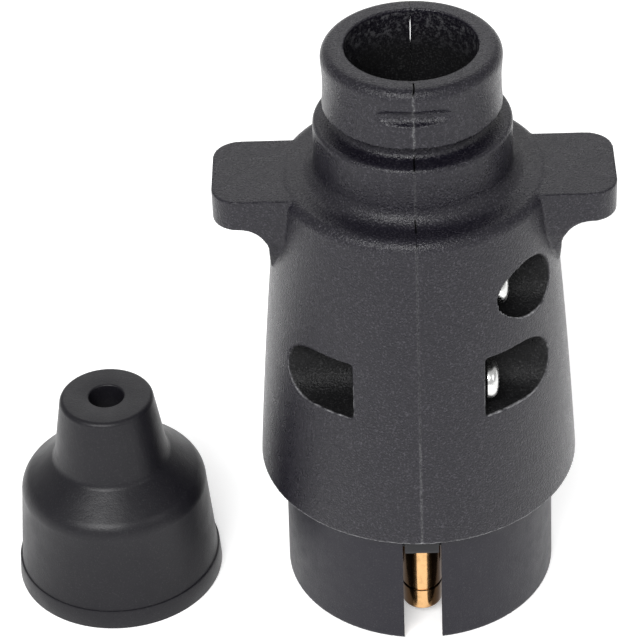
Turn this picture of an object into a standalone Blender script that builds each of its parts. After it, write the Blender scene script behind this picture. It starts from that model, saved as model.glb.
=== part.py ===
"""Seven-pin round trailer plug with a two-part clamshell housing and a loose rubber cable boot.

Units are metres and +Z is up. The plug stands on the rim of its sleeve with its axis upright,
and the boot stands beside it on the same surface. The origin is the centre of the pair's footprint.
-Y is the side of the keyway, and X is the direction in which the two housing halves part.
"""

import math

import bmesh
import bpy
from mathutils import Matrix, Vector

MM = 0.001
GAP = 0.3 * MM

# Places of the two loose pieces
BOOT_SPACING = 46.9 * MM
BOOT_Y = -1.0 * MM

# Sleeve: the slotted barrel round the pins
SLEEVE_RIM_R = 20.5 * MM
SLEEVE_TOP_R = 20.1 * MM
SLEEVE_INNER_R = 18.4 * MM
SLEEVE_TOP_Z = 33.0 * MM
SLEEVE_EDGE = 0.35 * MM
SLEEVE_FLANGE_R = 21.2 * MM
SLEEVE_FLANGE_H = 3.0 * MM
KEYWAY_W = 5.7 * MM
KEYWAY_TOP_Z = 26.0 * MM

# Housing, outside
SKIRT_Z = 21.75 * MM
SKIRT_R = 23.9 * MM
SHOULDER_Z = 70.7 * MM
SHOULDER_R = 19.75 * MM
BODY_BULGE = 0.25 * MM
SHOULDER_ROUND = 1.8 * MM
LEDGE_Z = SHOULDER_Z + SHOULDER_ROUND
COLLAR_R = 14.2 * MM
COLLAR_FILLET = 2.2 * MM
COLLAR_TOP_Z = 81.14 * MM
COLLAR_EDGE = 0.7 * MM
NECK_R = 11.0 * MM
NECK_FILLET = 0.9 * MM
RING_Z = 83.75 * MM
RING_TOP_Z = 92.9 * MM
RING_R = 12.8 * MM
RING_WAIST_R = 12.6 * MM
RING_WAIST_Z = 88.3 * MM
RING_ROUND = 1.6 * MM
BORE_R = 9.43 * MM
TIE_GROOVE_R = 1.2 * MM
TIE_GROOVE_DEPTH = 1.2 * MM
TIE_GROOVE_Z = 88.5 * MM

# Housing, inside
WALL = 2.2 * MM
SEAT_R = 20.6 * MM
GROOVE_R = SLEEVE_FLANGE_R + GAP
LIP_R = 20.0 * MM
LIP_H = 1.2 * MM
CHAMBER_TOP_Z = 64.0 * MM
ROOF_Z = 68.6 * MM
ROOF_R = 15.5 * MM
ROOF_RISE = 1.6 * MM
SPLIT_GAP = GAP

# Wings and the gussets under them
WING_SPAN = 28.84 * MM
WING_TOP_Z = 72.3 * MM
WING_THICK = 4.8 * MM
WING_DEPTH = 16.0 * MM
WING_CORNER = 4.0 * MM
WING_EDGE = 0.3 * MM
WING_ROOT_X = 14.0 * MM
GUSSET_ARC_R = 4.2 * MM
GUSSET_ARC_X = 25.15 * MM
GUSSET_TIP_Z = 58.2 * MM
GUSSET_TIP_HALF = 3.6 * MM
GUSSET_LOW_Z = 58.6 * MM
GUSSET_LOW_HALF = 4.2 * MM
GUSSET_MID_Z = 62.0 * MM
GUSSET_MID_HALF = 6.6 * MM
GUSSET_HIGH_Z = 65.2 * MM
GUSSET_HIGH_HALF = 7.8 * MM

# Screw pockets, posts and screws
POCKET_WALL = 1.65 * MM
POCKET_Y = 15.9 * MM
SCREW_POCKET_R = 4.8 * MM
SCREW_POCKET_Z = 47.35 * MM
EMPTY_POCKET_R = 4.5 * MM
EMPTY_POCKET_Z = 47.15 * MM
UPPER_POCKET_R = 4.45 * MM
UPPER_POCKET_Y = 12.9 * MM
UPPER_POCKET_Z = 60.2 * MM
LOWER_FLOOR_X = 9.45 * MM
LOWER_SCREW_Y = 16.5 * MM
LOWER_SCREW_Z = 46.5 * MM
UPPER_SCREW_Y = 12.0 * MM
UPPER_SCREW_Z = 60.0 * MM
UPPER_FLOOR_X = 11.0 * MM
POST_R = 3.6 * MM
POST_REACH = 1.0 * MM
SCREW_R = 1.5 * MM
SCREW_LEN = 17.5 * MM
SCREW_HEAD_R = 2.8 * MM
SCREW_HEAD_H = 1.8 * MM
RECESS_W = 0.7 * MM
RECESS_LEN = 3.0 * MM
RECESS_DEPTH = 0.8 * MM
PILOT_DEPTH = 8.0 * MM

# Contact carrier and its key
CARRIER_FACE_Z = 16.0 * MM
CARRIER_R = SLEEVE_INNER_R - GAP
CARRIER_FLANGE_H = 1.5 * MM
CARRIER_TOP_Z = SLEEVE_TOP_Z + GAP + CARRIER_FLANGE_H
KEY_W = 5.1 * MM
KEY_Z = 16.8 * MM
KEY_OUT_R = 20.3 * MM

# Contact pins
PIN_COUNT = 7
PIN_CIRCLE_R = 13.5 * MM
PIN_R = 3.0 * MM
PIN_TIP_Z = 1.5 * MM
PIN_DOME_H = 1.4 * MM
PIN_STEP_Z = 24.3 * MM
PIN_BARREL_R = 3.4 * MM
PIN_TOP_Z = 40.5 * MM
PIN_MARK_Z = 6.3 * MM
PIN_MARK_W = 0.35 * MM
PIN_MARK_DEPTH = 0.15 * MM
WIRE_BORE_R = 1.6 * MM
WIRE_BORE_Z = 33.0 * MM

# Terminal screws
CLAMP_Z = 37.6 * MM
CLAMP_R = 1.2 * MM
CLAMP_TIP = 0.6 * MM
CLAMP_HEAD_R = 1.9 * MM
CLAMP_HEAD_H = 1.0 * MM
CLAMP_SLOT = 0.5 * MM

# Rubber boot
BOOT_LIP_R = 15.78 * MM
BOOT_LIP_TOP_R = 15.6 * MM
BOOT_LIP_H = 3.4 * MM
BOOT_LIP_EDGE = 0.3 * MM
BOOT_BODY_R = 15.25 * MM
BOOT_SHOULDER_R = 14.2 * MM
BOOT_SHOULDER_Z = 16.0 * MM
BOOT_ROUND = 3.65 * MM
BOOT_LEDGE_TURN = 50
BOOT_TIP_R = 8.6 * MM
BOOT_TIP_Z = 22.9 * MM
BOOT_TIP_LEAN = 8.5
BOOT_TIP_FILLET = 1.8 * MM
BOOT_TIP_TOP_R = 7.15 * MM
BOOT_HEIGHT = 33.0 * MM
BOOT_TIP_ROUND = 0.8 * MM
BOOT_HOLE_R = 2.64 * MM
BOOT_MOUTH_R = 14.3 * MM
BOOT_BEAD_R = 11.4 * MM
BOOT_BEAD_Z = 8.1 * MM
BOOT_BEAD_HALF = 1.1 * MM
BOOT_BORE_R = 12.95 * MM
BOOT_CEILING_Z = 17.6 * MM
BOOT_CEILING_EDGE = 1.6 * MM
BOOT_CONE_R = 6.2 * MM
BOOT_HOLE_Z = 30.0 * MM

# Facets round a full turn, by size of piece
ROUND_LARGE = 40
ROUND_SMALL = 12

PLUG_X = (BOOT_SPACING + BOOT_LIP_R - WING_SPAN) / 2
FAR = 30 * MM

# Colour, roughness and metallic value of each material
LOOKS = {
    "housing_plastic": ((0.055, 0.055, 0.061), 0.55, 0.0),
    "sleeve_plastic": ((0.068, 0.067, 0.074), 0.50, 0.0),
    "carrier_plastic": ((0.040, 0.040, 0.043), 0.60, 0.0),
    "pin_brass": ((0.45, 0.30, 0.12), 0.25, 1.0),
    "screw_steel": ((0.62, 0.61, 0.58), 0.30, 1.0),
    "boot_rubber": ((0.045, 0.045, 0.048), 0.70, 0.0),
}


def clear_scene():
    """Remove every object so that the model starts from an empty scene."""
    for thing in list(bpy.data.objects):
        bpy.data.objects.remove(thing, do_unlink=True)


def material(name):
    """Return the Principled material of that name, making it on first use."""
    found = bpy.data.materials.get(name)
    if found:
        return found
    colour, roughness, metallic = LOOKS[name]
    made = bpy.data.materials.new(name)
    made.use_nodes = True
    shader = made.node_tree.nodes["Principled BSDF"]
    shader.inputs["Base Color"].default_value = (*colour, 1.0)
    shader.inputs["Roughness"].default_value = roughness
    shader.inputs["Metallic"].default_value = metallic
    made.diffuse_color = (*colour, 1.0)
    return made


def arc(centre, radius, start, end, steps):
    """Points on an arc about centre from start to end, both in degrees."""
    turns = [math.radians(start + (end - start) * i / steps) for i in range(steps + 1)]
    return [(centre[0] + radius * math.cos(t), centre[1] + radius * math.sin(t)) for t in turns]


def new_object(name, bm):
    """Turn a bmesh into a linked object whose round faces shade smooth."""
    bmesh.ops.recalc_face_normals(bm, faces=bm.faces)
    mesh = bpy.data.meshes.new(name)
    bm.to_mesh(mesh)
    bm.free()
    mesh.shade_smooth()
    mesh.set_sharp_from_angle(angle=math.radians(35))
    made = bpy.data.objects.new(name, mesh)
    bpy.context.collection.objects.link(made)
    return made


def turned(name, outline, segments):
    """Closed solid turned about Z from a closed outline of (radius, height) points."""
    bm = bmesh.new()
    verts = [bm.verts.new((r, 0, z)) for r, z in outline]
    edges = [bm.edges.new((a, b)) for a, b in zip(verts, verts[1:] + verts[:1])]
    axis_edges = [e for e in edges if all(v.co.x == 0 for v in e.verts)]
    bmesh.ops.delete(bm, geom=axis_edges, context="EDGES")
    bmesh.ops.spin(bm, geom=bm.verts[:] + bm.edges[:], cent=(0, 0, 0), axis=(0, 0, 1),
                   angle=math.tau, steps=segments, use_merge=True)
    bmesh.ops.remove_doubles(bm, verts=bm.verts, dist=1e-7)
    return new_object(name, bm)


def prism(name, outline, to_world, length):
    """Closed solid extruded by length from a flat outline that to_world lays in space."""
    bm = bmesh.new()
    face = bm.faces.new([bm.verts.new(to_world @ Vector((u, v, 0))) for u, v in outline])
    made = bmesh.ops.extrude_face_region(bm, geom=[face])
    moved = [part for part in made["geom"] if isinstance(part, bmesh.types.BMVert)]
    shift = to_world.to_3x3() @ Vector((0, 0, length))
    bmesh.ops.translate(bm, vec=shift, verts=moved)
    return new_object(name, bm)


def box(name, low, high):
    """Closed box between two corners."""
    bm = bmesh.new()
    size = [b - a for a, b in zip(low, high)]
    middle = [(a + b) / 2 for a, b in zip(low, high)]
    place = Matrix.Translation(middle) @ Matrix.Diagonal((*size, 1))
    bmesh.ops.create_cube(bm, size=1, matrix=place)
    return new_object(name, bm)


def along_x(x):
    """Frame that lays an outline of (y, z) points at x and extrudes it towards +X."""
    return Matrix(((0, 0, 1, x), (1, 0, 0, 0), (0, 1, 0, 0), (0, 0, 0, 1)))


def rod(name, x, length, y, z, radius, segments=ROUND_SMALL):
    """Round bar along X from x, centred at y and z."""
    outline = arc((y, z), radius, 0, 360 - 360 / segments, segments - 1)
    return prism(name, outline, along_x(x), length)


def combine(target, tool, operation):
    """Boolean the tool into the target, then drop the tool."""
    tool.hide_render = True
    tool.display_type = "WIRE"
    step = target.modifiers.new(operation.title(), "BOOLEAN")
    step.operation = operation
    step.solver = "EXACT"
    step.object = tool
    evaluated = target.evaluated_get(bpy.context.evaluated_depsgraph_get())
    result = bpy.data.meshes.new_from_object(evaluated)
    target.modifiers.clear()
    target.data = result
    bpy.data.objects.remove(tool, do_unlink=True)


def finish(thing, slot, parent):
    """Give a finished piece its only material and its parent."""
    thing.data.materials.clear()
    thing.data.materials.append(material(slot))
    thing.parent = parent
    return thing


def frame_empty(name, x, y):
    """Empty on the surface that carries the pieces of one loose item."""
    made = bpy.data.objects.new(name, None)
    made.location = (x, y, 0)
    bpy.context.collection.objects.link(made)
    return made


def body_radius(z):
    """Outer radius of the tapered body, which bulges slightly between skirt and shoulder."""
    t = (z - SKIRT_Z) / (SHOULDER_Z - SKIRT_Z)
    return SKIRT_R + (SHOULDER_R - SKIRT_R) * t + 4 * BODY_BULGE * t * (1 - t)


def heights(low, high, steps):
    """Evenly spaced heights from low to high, both included."""
    return [low + (high - low) * i / steps for i in range(steps + 1)]


def housing_outline():
    """Outside of the housing, closed along the axis."""
    shoulder = (SHOULDER_R - SHOULDER_ROUND, SHOULDER_Z)
    collar_foot = (COLLAR_R + COLLAR_FILLET, LEDGE_Z + COLLAR_FILLET)
    collar_edge = (COLLAR_R - COLLAR_EDGE, COLLAR_TOP_Z - COLLAR_EDGE)
    neck_foot = (NECK_R + NECK_FILLET, COLLAR_TOP_Z + NECK_FILLET)
    ring_edge = (RING_R - RING_ROUND, RING_TOP_Z - RING_ROUND)
    points = [(0, SKIRT_Z)]
    points += [(body_radius(z), z) for z in heights(SKIRT_Z, SHOULDER_Z, 5)[:-1]]
    points += arc(shoulder, SHOULDER_ROUND, 0, 90, 4)
    points += arc(collar_foot, COLLAR_FILLET, 270, 180, 4)
    points += arc(collar_edge, COLLAR_EDGE, 0, 90, 2)
    points += arc(neck_foot, NECK_FILLET, 270, 180, 2)
    points += [(NECK_R, RING_Z), (RING_R, RING_Z), (RING_WAIST_R, RING_WAIST_Z)]
    points += arc(ring_edge, RING_ROUND, 0, 90, 4)
    points += [(0, RING_TOP_Z)]
    return points


def chamber_outline():
    """Inside of the housing: sleeve seat, flange groove, lip, wiring chamber and cable bore."""
    groove_low = SLEEVE_TOP_Z - SLEEVE_FLANGE_H - GAP
    groove_high = CARRIER_TOP_Z + GAP
    lip_top = groove_high + LIP_H
    points = [(0, SKIRT_Z - FAR), (SEAT_R, SKIRT_Z - FAR), (SEAT_R, groove_low)]
    points += [(GROOVE_R, groove_low), (GROOVE_R, groove_high)]
    points += [(LIP_R, groove_high), (LIP_R, lip_top)]
    points += [(body_radius(z) - WALL, z) for z in heights(lip_top + GAP, CHAMBER_TOP_Z, 3)]
    points += [(ROOF_R, ROOF_Z), (BORE_R, ROOF_Z + ROOF_RISE)]
    points += [(BORE_R, RING_TOP_Z + FAR), (0, RING_TOP_Z + FAR)]
    return points


def wing_solid():
    """Wing with its gusset on the +X side: a side outline trimmed to its plan and front outlines."""
    under = WING_TOP_Z - WING_THICK
    side = [(WING_ROOT_X, WING_TOP_Z), (WING_SPAN - WING_EDGE, WING_TOP_Z)]
    side += [(WING_SPAN, WING_TOP_Z - WING_EDGE), (WING_SPAN, under + WING_EDGE)]
    side += [(WING_SPAN - WING_EDGE, under)]
    side += arc((GUSSET_ARC_X, under - GUSSET_ARC_R), GUSSET_ARC_R, 90, 180, 5)
    side += [(GUSSET_ARC_X - GUSSET_ARC_R, GUSSET_TIP_Z), (WING_ROOT_X, GUSSET_TIP_Z)]
    along_y = Matrix(((1, 0, 0, 0), (0, 0, 1, -WING_DEPTH / 2), (0, 1, 0, 0), (0, 0, 0, 1)))
    wing = prism("wing", side, along_y, WING_DEPTH)
    half = WING_DEPTH / 2
    corner_x = WING_SPAN - WING_CORNER
    plan = [(0, half), (0, -half)]
    plan += arc((corner_x, WING_CORNER - half), WING_CORNER, -90, 0, 4)
    plan += arc((corner_x, half - WING_CORNER), WING_CORNER, 0, 90, 4)
    trim = prism("wing_plan", plan, Matrix.Translation((0, 0, SKIRT_Z)), RING_TOP_Z)
    combine(wing, trim, "INTERSECT")
    front = [(half, WING_TOP_Z + FAR), (half, under), (GUSSET_HIGH_HALF, GUSSET_HIGH_Z)]
    front += [(GUSSET_MID_HALF, GUSSET_MID_Z), (GUSSET_LOW_HALF, GUSSET_LOW_Z)]
    front += [(GUSSET_TIP_HALF, GUSSET_TIP_Z)]
    front += [(-y, z) for y, z in reversed(front)]
    combine(wing, prism("gusset_front", front, along_x(0), 2 * FAR), "INTERSECT")
    return wing


def lower_pocket(name, side, grow, x):
    """U-shaped bar along X: the screw's pocket at the front (side -1), the empty one behind."""
    radius = (SCREW_POCKET_R if side < 0 else EMPTY_POCKET_R) + grow
    z = SCREW_POCKET_Z if side < 0 else EMPTY_POCKET_Z
    turn = 90 if side > 0 else -90
    outline = [(side * FAR, z - side * radius), (side * FAR, z + side * radius)]
    outline += arc((side * POCKET_Y, z), radius, turn, turn + 180, 8)
    return prism(name, outline, along_x(x), FAR)


def chamber_solid():
    """Hollow of the +X half, less the pocket walls and screw posts that stand in it."""
    chamber = turned("chamber", chamber_outline(), ROUND_LARGE)
    for side in (-1, 1):
        block = lower_pocket("pocket_wall", side, POCKET_WALL, LOWER_FLOOR_X - POCKET_WALL)
        combine(chamber, block, "DIFFERENCE")
        post = rod("post", -POST_REACH, LOWER_FLOOR_X, side * LOWER_SCREW_Y, LOWER_SCREW_Z, POST_R)
        combine(chamber, post, "DIFFERENCE")
        post = rod("post", -POST_REACH, FAR, side * UPPER_SCREW_Y, UPPER_SCREW_Z, POST_R)
        combine(chamber, post, "DIFFERENCE")
    floor_back = UPPER_FLOOR_X - POCKET_WALL
    upper_r = UPPER_POCKET_R + POCKET_WALL
    block = rod("pocket_wall", floor_back, FAR, -UPPER_POCKET_Y, UPPER_POCKET_Z, upper_r)
    combine(chamber, block, "DIFFERENCE")
    return chamber


def cut_screw_features(half):
    """Cut the pockets, clearance holes and pilot holes of the +X half."""
    for side in (-1, 1):
        combine(half, lower_pocket("pocket", side, 0, LOWER_FLOOR_X), "DIFFERENCE")
    upper = rod("pocket", UPPER_FLOOR_X, FAR, -UPPER_POCKET_Y, UPPER_POCKET_Z, UPPER_POCKET_R,
                2 * ROUND_SMALL)
    combine(half, upper, "DIFFERENCE")
    hole_r = SCREW_R + GAP
    for y, z in ((LOWER_SCREW_Y, LOWER_SCREW_Z), (UPPER_SCREW_Y, UPPER_SCREW_Z)):
        through = rod("clearance", -POST_REACH, UPPER_FLOOR_X + 2 * POST_REACH, -y, z, hole_r)
        combine(half, through, "DIFFERENCE")
        pilot = rod("pilot", -POST_REACH, POST_REACH + PILOT_DEPTH, y, z, hole_r)
        combine(half, pilot, "DIFFERENCE")


def housing_half():
    """One housing half on the +X side. The other half is the same moulding turned round."""
    half = turned("housing_half_right", housing_outline(), ROUND_LARGE)
    combine(half, wing_solid(), "UNION")
    combine(half, chamber_solid(), "DIFFERENCE")
    tie_y = RING_WAIST_R - TIE_GROOVE_DEPTH + TIE_GROOVE_R
    for side in (-1, 1):
        tie = rod("tie", -FAR, 2 * FAR, side * tie_y, TIE_GROOVE_Z, TIE_GROOVE_R)
        combine(half, tie, "DIFFERENCE")
    keep = box("keep", (SPLIT_GAP / 2, -FAR, 0), (2 * FAR, FAR, RING_TOP_Z + FAR))
    combine(half, keep, "INTERSECT")
    cut_screw_features(half)
    return half


def housing(parent):
    """Both housing halves, which share one mesh."""
    right = finish(housing_half(), "housing_plastic", parent)
    left = bpy.data.objects.new("housing_half_left", right.data)
    left.rotation_euler = (0, 0, math.pi)
    left.parent = parent
    bpy.context.collection.objects.link(left)


def plug_sleeve(parent):
    """Slotted barrel with the flange that the housing grips."""
    flange_z = SLEEVE_TOP_Z - SLEEVE_FLANGE_H
    outline = [(SLEEVE_INNER_R + SLEEVE_EDGE, 0), (SLEEVE_RIM_R - SLEEVE_EDGE, 0)]
    outline += [(SLEEVE_RIM_R, SLEEVE_EDGE), (SLEEVE_TOP_R, flange_z)]
    outline += [(SLEEVE_FLANGE_R, flange_z), (SLEEVE_FLANGE_R, SLEEVE_TOP_Z)]
    outline += [(SLEEVE_INNER_R, SLEEVE_TOP_Z), (SLEEVE_INNER_R, SLEEVE_EDGE)]
    sleeve = turned("plug_sleeve", outline, ROUND_LARGE)
    low = (-KEYWAY_W / 2, -FAR, -FAR)
    high = (KEYWAY_W / 2, CARRIER_FACE_Z - FAR, KEYWAY_TOP_Z)
    combine(sleeve, box("keyway", low, high), "DIFFERENCE")
    return finish(sleeve, "sleeve_plastic", parent)


def pin_place(number):
    """Plan position of a contact, and the plan angle that its clamp screw faces."""
    if number == PIN_COUNT:
        return 0.0, 0.0, 0.0
    angle = -math.pi / 2 + (number - 1) * math.tau / (PIN_COUNT - 1)
    return PIN_CIRCLE_R * math.cos(angle), PIN_CIRCLE_R * math.sin(angle), angle


def contact_carrier(parent):
    """Moulded disc that holds the contacts, with the key that sits in the keyway."""
    outline = [(0, CARRIER_FACE_Z), (CARRIER_R, CARRIER_FACE_Z)]
    outline += [(CARRIER_R, SLEEVE_TOP_Z + GAP), (SLEEVE_FLANGE_R, SLEEVE_TOP_Z + GAP)]
    outline += [(SLEEVE_FLANGE_R, CARRIER_TOP_Z), (0, CARRIER_TOP_Z)]
    carrier = turned("contact_carrier", outline, ROUND_LARGE)
    low = (-KEY_W / 2, -KEY_OUT_R, KEY_Z)
    high = (KEY_W / 2, -CARRIER_R + KEY_W, KEYWAY_TOP_Z - GAP)
    combine(carrier, box("key", low, high), "UNION")
    step_z = PIN_STEP_Z - GAP
    small, large = PIN_R + GAP, PIN_BARREL_R + GAP
    profile = [(0, 0), (small, 0), (small, step_z), (large, step_z), (large, PIN_TOP_Z)]
    profile += [(0, PIN_TOP_Z)]
    for number in range(1, PIN_COUNT + 1):
        x, y, _ = pin_place(number)
        hole = turned("pin_hole", profile, ROUND_SMALL)
        hole.location = (x, y, 0)
        bpy.context.view_layer.update()
        combine(carrier, hole, "DIFFERENCE")
    return finish(carrier, "carrier_plastic", parent)


def pin_mesh():
    """Contact pin: domed tip, scribed ring, shoulder and wire barrel with its clamp hole."""
    mark_low = PIN_MARK_Z - PIN_MARK_W / 2
    mark_high = PIN_MARK_Z + PIN_MARK_W / 2
    dome = arc((0, 0), 1, -90, 0, 4)
    outline = [(PIN_R * x, PIN_TIP_Z + PIN_DOME_H * (1 + z)) for x, z in dome]
    outline[0] = (0, PIN_TIP_Z)
    outline += [(PIN_R, mark_low), (PIN_R - PIN_MARK_DEPTH, PIN_MARK_Z), (PIN_R, mark_high)]
    outline += [(PIN_R, PIN_STEP_Z), (PIN_BARREL_R, PIN_STEP_Z), (PIN_BARREL_R, PIN_TOP_Z)]
    outline += [(WIRE_BORE_R, PIN_TOP_Z), (WIRE_BORE_R, WIRE_BORE_Z), (0, WIRE_BORE_Z)]
    pin = turned("pin", outline, ROUND_SMALL)
    combine(pin, rod("clamp_hole", 0, FAR, 0, CLAMP_Z, CLAMP_R + GAP), "DIFFERENCE")
    mesh = pin.data
    bpy.data.objects.remove(pin, do_unlink=True)
    return mesh


def clamp_screw_mesh():
    """Slotted terminal screw whose own axis is Z, with its head at the top."""
    head_z = PIN_BARREL_R + GAP
    top = head_z + CLAMP_HEAD_H
    outline = [(0, CLAMP_TIP), (CLAMP_R, CLAMP_TIP), (CLAMP_R, head_z), (CLAMP_HEAD_R, head_z)]
    outline += [(CLAMP_HEAD_R, top), (0, top)]
    screw = turned("clamp_screw", outline, ROUND_SMALL)
    low = (-CLAMP_SLOT / 2, -FAR, top - CLAMP_SLOT)
    high = (CLAMP_SLOT / 2, FAR, top + FAR)
    combine(screw, box("slot", low, high), "DIFFERENCE")
    mesh = screw.data
    bpy.data.objects.remove(screw, do_unlink=True)
    return mesh


def contacts(parent):
    """The seven contact pins, each with its terminal screw."""
    pin, screw = pin_mesh(), clamp_screw_mesh()
    for number in range(1, PIN_COUNT + 1):
        x, y, angle = pin_place(number)
        contact = bpy.data.objects.new(f"contact_pin_{number}", pin)
        contact.location = (x, y, 0)
        contact.rotation_euler = (0, 0, angle)
        clamp = bpy.data.objects.new(f"terminal_screw_{number}", screw)
        clamp.location = (x, y, CLAMP_Z)
        clamp.rotation_euler = (0, math.pi / 2, angle)
        for thing, slot in ((contact, "pin_brass"), (clamp, "screw_steel")):
            bpy.context.collection.objects.link(thing)
            finish(thing, slot, parent)


def housing_screw_mesh():
    """Pan head screw whose own axis is Z, with the underside of its head at zero."""
    dome = SCREW_HEAD_H / 3
    outline = [(0, -SCREW_LEN), (SCREW_R - GAP, -SCREW_LEN), (SCREW_R, GAP - SCREW_LEN)]
    outline += [(SCREW_R, 0), (SCREW_HEAD_R, 0), (SCREW_HEAD_R, SCREW_HEAD_H - 2 * dome)]
    outline += [(SCREW_HEAD_R - dome / 2, SCREW_HEAD_H - dome / 2)]
    outline += [(SCREW_HEAD_R - 2 * dome, SCREW_HEAD_H), (0, SCREW_HEAD_H)]
    screw = turned("housing_screw", outline, ROUND_SMALL)
    floor = SCREW_HEAD_H - RECESS_DEPTH
    for wide, deep in ((RECESS_LEN, RECESS_W), (RECESS_W, RECESS_LEN)):
        low = (-wide / 2, -deep / 2, floor)
        high = (wide / 2, deep / 2, SCREW_HEAD_H + FAR)
        combine(screw, box("recess", low, high), "DIFFERENCE")
    mesh = screw.data
    bpy.data.objects.remove(screw, do_unlink=True)
    return mesh


def housing_screws(parent):
    """Two screws from the +X side at the front and two from the -X side at the back."""
    mesh = housing_screw_mesh()
    levels = {"lower": (LOWER_FLOOR_X, LOWER_SCREW_Y, LOWER_SCREW_Z),
              "upper": (UPPER_FLOOR_X, UPPER_SCREW_Y, UPPER_SCREW_Z)}
    for end, side in (("front", 1), ("rear", -1)):
        for level, (floor_x, y, z) in levels.items():
            screw = bpy.data.objects.new(f"housing_screw_{end}_{level}", mesh)
            screw.location = (side * (floor_x + GAP), -side * y, z)
            screw.rotation_euler = (0, side * math.pi / 2, 0)
            bpy.context.collection.objects.link(screw)
            finish(screw, "screw_steel", parent)


def boot_outline():
    """Section of the boot: lip, tapered body, shoulder, nozzle, and the stepped inside."""
    shoulder = (BOOT_SHOULDER_R - BOOT_ROUND, BOOT_SHOULDER_Z)
    lean = math.radians(BOOT_TIP_LEAN)
    nozzle_foot = (BOOT_TIP_R + BOOT_TIP_FILLET * math.cos(lean),
                   BOOT_TIP_Z + BOOT_TIP_FILLET * math.sin(lean))
    nozzle_edge = (BOOT_TIP_TOP_R - BOOT_TIP_ROUND, BOOT_HEIGHT - BOOT_TIP_ROUND)
    points = [(BOOT_MOUTH_R, 0), (BOOT_LIP_R - BOOT_LIP_EDGE, 0), (BOOT_LIP_R, BOOT_LIP_EDGE)]
    points += [(BOOT_LIP_TOP_R, BOOT_LIP_H - BOOT_LIP_EDGE), (BOOT_BODY_R, BOOT_LIP_H)]
    points += arc(shoulder, BOOT_ROUND, 0, BOOT_LEDGE_TURN, 5)
    points += arc(nozzle_foot, BOOT_TIP_FILLET, 180 + BOOT_LEDGE_TURN, 180 + BOOT_TIP_LEAN, 4)
    points += arc(nozzle_edge, BOOT_TIP_ROUND, BOOT_TIP_LEAN, 90, 3)
    points += [(BOOT_HOLE_R, BOOT_HEIGHT), (BOOT_HOLE_R, BOOT_HOLE_Z)]
    points += [(BOOT_CONE_R, BOOT_CEILING_Z), (BOOT_BORE_R - BOOT_CEILING_EDGE, BOOT_CEILING_Z)]
    points += [(BOOT_BORE_R, BOOT_CEILING_Z - BOOT_CEILING_EDGE)]
    bead_low, bead_high = BOOT_BEAD_Z - BOOT_BEAD_HALF, BOOT_BEAD_Z + BOOT_BEAD_HALF
    points += [(BOOT_BORE_R, bead_high + GAP), (BOOT_BEAD_R, bead_high)]
    points += [(BOOT_BEAD_R, bead_low), (BOOT_MOUTH_R, bead_low - GAP)]
    return points


def cable_boot(parent):
    """Rubber boot, which stands beside the plug on its mouth."""
    boot = turned("cable_boot", boot_outline(), ROUND_LARGE)
    return finish(boot, "boot_rubber", parent)


def main():
    """Build the plug and the boot."""
    clear_scene()
    plug = frame_empty("plug_axis", PLUG_X, 0)
    housing(plug)
    plug_sleeve(plug)
    contact_carrier(plug)
    contacts(plug)
    housing_screws(plug)
    cable_boot(frame_empty("boot_axis", PLUG_X - BOOT_SPACING, BOOT_Y))


main()
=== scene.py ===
"""Looks of the seven-pin trailer plug and its loose rubber boot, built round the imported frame.

Every piece is rebuilt as a fine mesh in the place that its CAD node holds, with procedural
materials. Local sizes are in millimetres and are scaled to metres as each mesh is made.
"""
import math

import bmesh
import bpy
import numpy as np
from mathutils import Matrix, Vector


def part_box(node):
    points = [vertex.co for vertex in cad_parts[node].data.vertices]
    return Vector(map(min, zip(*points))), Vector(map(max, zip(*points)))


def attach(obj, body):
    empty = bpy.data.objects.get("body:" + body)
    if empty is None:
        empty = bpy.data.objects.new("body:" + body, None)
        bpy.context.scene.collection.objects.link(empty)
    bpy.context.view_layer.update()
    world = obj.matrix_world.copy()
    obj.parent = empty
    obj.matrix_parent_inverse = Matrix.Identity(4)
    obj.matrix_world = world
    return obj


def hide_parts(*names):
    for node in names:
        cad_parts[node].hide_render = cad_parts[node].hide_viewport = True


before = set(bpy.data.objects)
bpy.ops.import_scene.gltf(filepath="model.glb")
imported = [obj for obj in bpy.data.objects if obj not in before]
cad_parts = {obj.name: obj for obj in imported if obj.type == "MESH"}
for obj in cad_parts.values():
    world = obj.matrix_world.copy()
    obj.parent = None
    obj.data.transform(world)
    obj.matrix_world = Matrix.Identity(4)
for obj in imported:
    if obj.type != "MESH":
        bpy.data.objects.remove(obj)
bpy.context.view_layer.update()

MM = 0.001


def node_axis(name):
    """Plan position in millimetres of the middle of a CAD node's box."""
    low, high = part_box(name)
    return Vector(((low.x + high.x) / 2 / MM, (low.y + high.y) / 2 / MM, 0))


# Places, from the frame
PLUG = node_axis("plug_sleeve")
BOOT = node_axis("cable_boot")
HALF_LOW, HALF_HIGH = (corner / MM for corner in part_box("housing_half_right"))
BOOT_TOP_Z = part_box("cable_boot")[1].z / MM

# Housing, outside
SKIRT_Z = HALF_LOW.z
SKIRT_R = HALF_HIGH.y
SHOULDER_Z = 70.7
SHOULDER_R = 19.75
BODY_BULGE = 0.25
SHOULDER_ROUND = 1.8
LEDGE_Z = SHOULDER_Z + SHOULDER_ROUND
COLLAR_R = 14.2
COLLAR_FILLET = 2.2
COLLAR_TOP_Z = 81.14
COLLAR_EDGE = 0.7
NECK_R = 11.0
NECK_FILLET = 0.9
RING_Z = 83.75
RING_TOP_Z = HALF_HIGH.z
RING_R = 12.8
RING_FLANK = 0.15
RING_FLANK_H = 2
RING_WAIST_R = 12.6
RING_WAIST_Z = 88.3
RING_ROUND = 1.6
BORE_R = 9.43
TIE_GROOVE_R = 1.2
TIE_GROOVE_DEPTH = 1.2
TIE_GROOVE_Z = 88.5

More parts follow.
